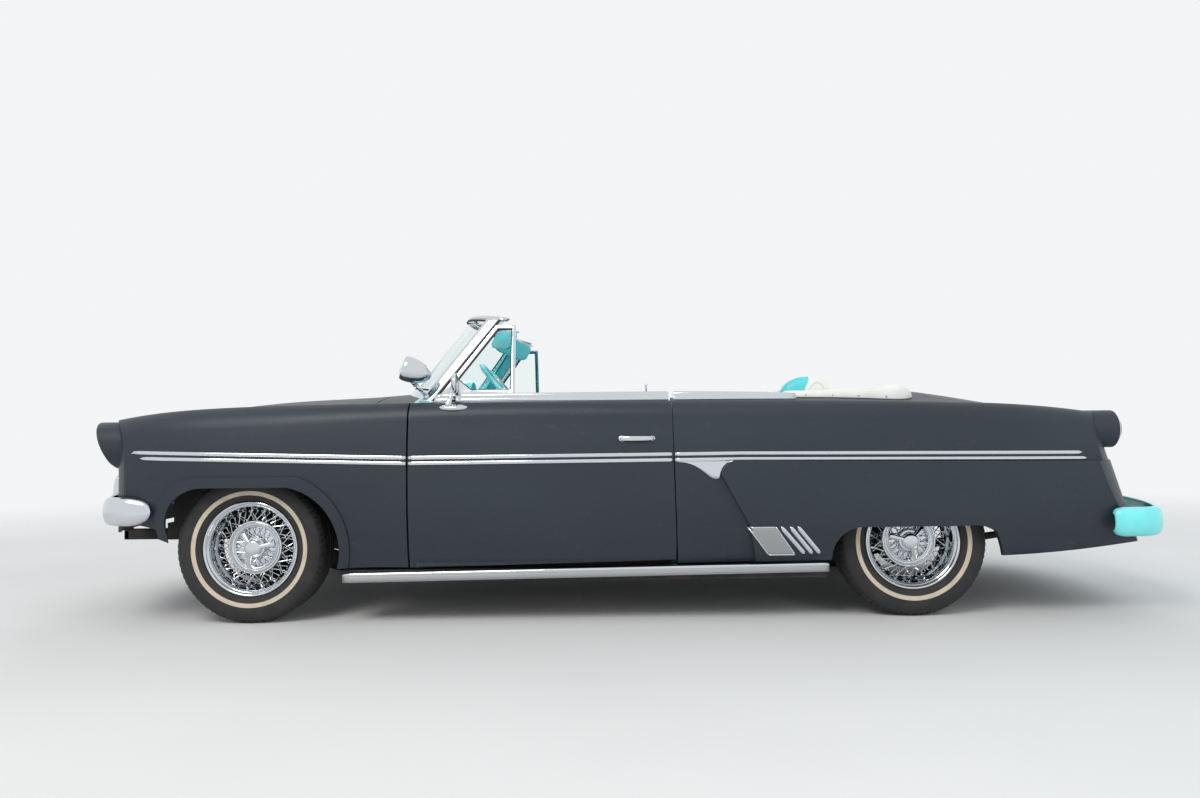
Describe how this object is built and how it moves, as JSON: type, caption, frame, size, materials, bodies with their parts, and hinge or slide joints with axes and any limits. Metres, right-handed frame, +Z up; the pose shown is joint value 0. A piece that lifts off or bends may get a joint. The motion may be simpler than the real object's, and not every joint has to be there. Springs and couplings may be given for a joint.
{
  "type": "two-door convertible car",
  "caption": "Early-fifties style two-door convertible with top folded, wire wheels, opening doors, hood and trunk, steered front wheels.",
  "frame": {"origin": "on the ground below the middle of the overall box", "axes": "+X towards the nose, +Y towards the car's left side, +Z up"},
  "size_m": [5.0368, 1.857, 1.421],
  "materials": {
    "body_paint": "satin",
    "chrome": "polished",
    "frame_black": "matte",
    "tyre": "matte",
    "glass": "polished",
    "red_lens": "polished",
    "turquoise_paint": "gloss",
    "turquoise_vinyl": "satin",
    "white_vinyl": "satin",
    "exhaust_steel": "worn"
  },
  "bodies": {
    "body": {"chassis_frame": "frame_black", "body_tub": "frame_black", "front_fender_left": "body_paint", "front_fender_right": "body_paint", "nose_panel": "body_paint", "grille": "chrome", "lamp_rims": "chrome", "headlamp_lenses": "glass", "tail_lamps": "red_lens", "front_bumper": "chrome", "rear_bumper": "turquoise_paint", "cowl_panel": "body_paint", "windshield_frame": "chrome", "windshield_glass": "glass", "dashboard": "turquoise_paint", "sun_visors": "turquoise_vinyl", "engine_block": "frame_black", "front_seat": "turquoise_vinyl", "rear_seat": "turquoise_vinyl", "quarter_left": "body_paint", "quarter_right": "body_paint", "deck_panel": "body_paint", "tail_panel": "body_paint", "top_boot": "white_vinyl", "spotlight": "chrome", "side_trim": "chrome", "rocker_trim": "chrome", "front_suspension": "frame_black", "rear_axle": "frame_black", "exhaust": "exhaust_steel"},
    "hood": {"hood": "body_paint"},
    "trunk_lid": {"trunk_lid": "body_paint"},
    "door_left": {"door_left": "body_paint", "door_trim_left": "chrome", "vent_glass_left": "glass"},
    "door_right": {"door_right": "body_paint", "door_trim_right": "chrome", "vent_glass_right": "glass"},
    "knuckle_left": {"knuckle_left": "frame_black"},
    "knuckle_right": {"knuckle_right": "frame_black"},
    "wheel_front_left": {"wheel_front_left": "chrome", "tyre_front_left": "tyre"},
    "wheel_front_right": {"wheel_front_right": "chrome", "tyre_front_right": "tyre"},
    "wheel_rear_left": {"wheel_rear_left": "chrome", "tyre_rear_left": "tyre"},
    "wheel_rear_right": {"wheel_rear_right": "chrome", "tyre_rear_right": "tyre"},
    "steering_wheel": {"steering_wheel": "turquoise_paint"}
  },
  "joints": [
    {"name": "hood_hinge", "type": "hinge", "parent": "body", "child": "hood", "pos_m": [1.181, 0, 1.034], "axis": [0, -1, 0], "range_deg": [0, 48]},
    {"name": "trunk_hinge", "type": "hinge", "parent": "body", "child": "trunk_lid", "pos_m": [-1.402, 0, 1.034], "axis": [0, 1, 0], "range_deg": [0, 55]},
    {"name": "door_left_hinge", "type": "hinge", "parent": "body", "child": "door_left", "pos_m": [0.972, 0.907, 0.6], "axis": [0, 0, -1], "range_deg": [0, 65]},
    {"name": "door_right_hinge", "type": "hinge", "parent": "body", "child": "door_right", "pos_m": [0.972, -0.907, 0.6], "axis": [0, 0, 1], "range_deg": [0, 65]},
    {"name": "steer_left", "type": "hinge", "parent": "body", "child": "knuckle_left", "pos_m": [1.6935, 0.64, 0.328], "axis": [0, 0, 1], "range_deg": [-28, 28]},
    {"name": "steer_right", "type": "hinge", "parent": "body", "child": "knuckle_right", "pos_m": [1.6935, -0.64, 0.328], "axis": [0, 0, 1], "range_deg": [-28, 28]},
    {"name": "steering_wheel_turn", "type": "hinge", "parent": "body", "child": "steering_wheel", "pos_m": [0.581, 0.37, 1], "axis": [-0.7431, 0, 0.6691], "range_deg": [-336, 336]},
    {"name": "wheel_front_left_spin", "type": "hinge", "parent": "knuckle_left", "child": "wheel_front_left", "pos_m": [1.6935, 0.7365, 0.328], "axis": [0, 1, 0], "continuous": true},
    {"name": "wheel_front_right_spin", "type": "hinge", "parent": "knuckle_right", "child": "wheel_front_right", "pos_m": [1.6935, -0.7365, 0.328], "axis": [0, 1, 0], "continuous": true},
    {"name": "wheel_rear_left_spin", "type": "hinge", "parent": "body", "child": "wheel_rear_left", "pos_m": [-1.2405, 0.711, 0.328], "axis": [0, 1, 0], "continuous": true},
    {"name": "wheel_rear_right_spin", "type": "hinge", "parent": "body", "child": "wheel_rear_right", "pos_m": [-1.2405, -0.711, 0.328], "axis": [0, 1, 0], "continuous": true}
  ],
  "couplings": [
    {"joint": "steer_right", "follows": "steer_left", "ratio": 1},
    {"joint": "steering_wheel_turn", "follows": "steer_left", "ratio": 12}
  ]
}
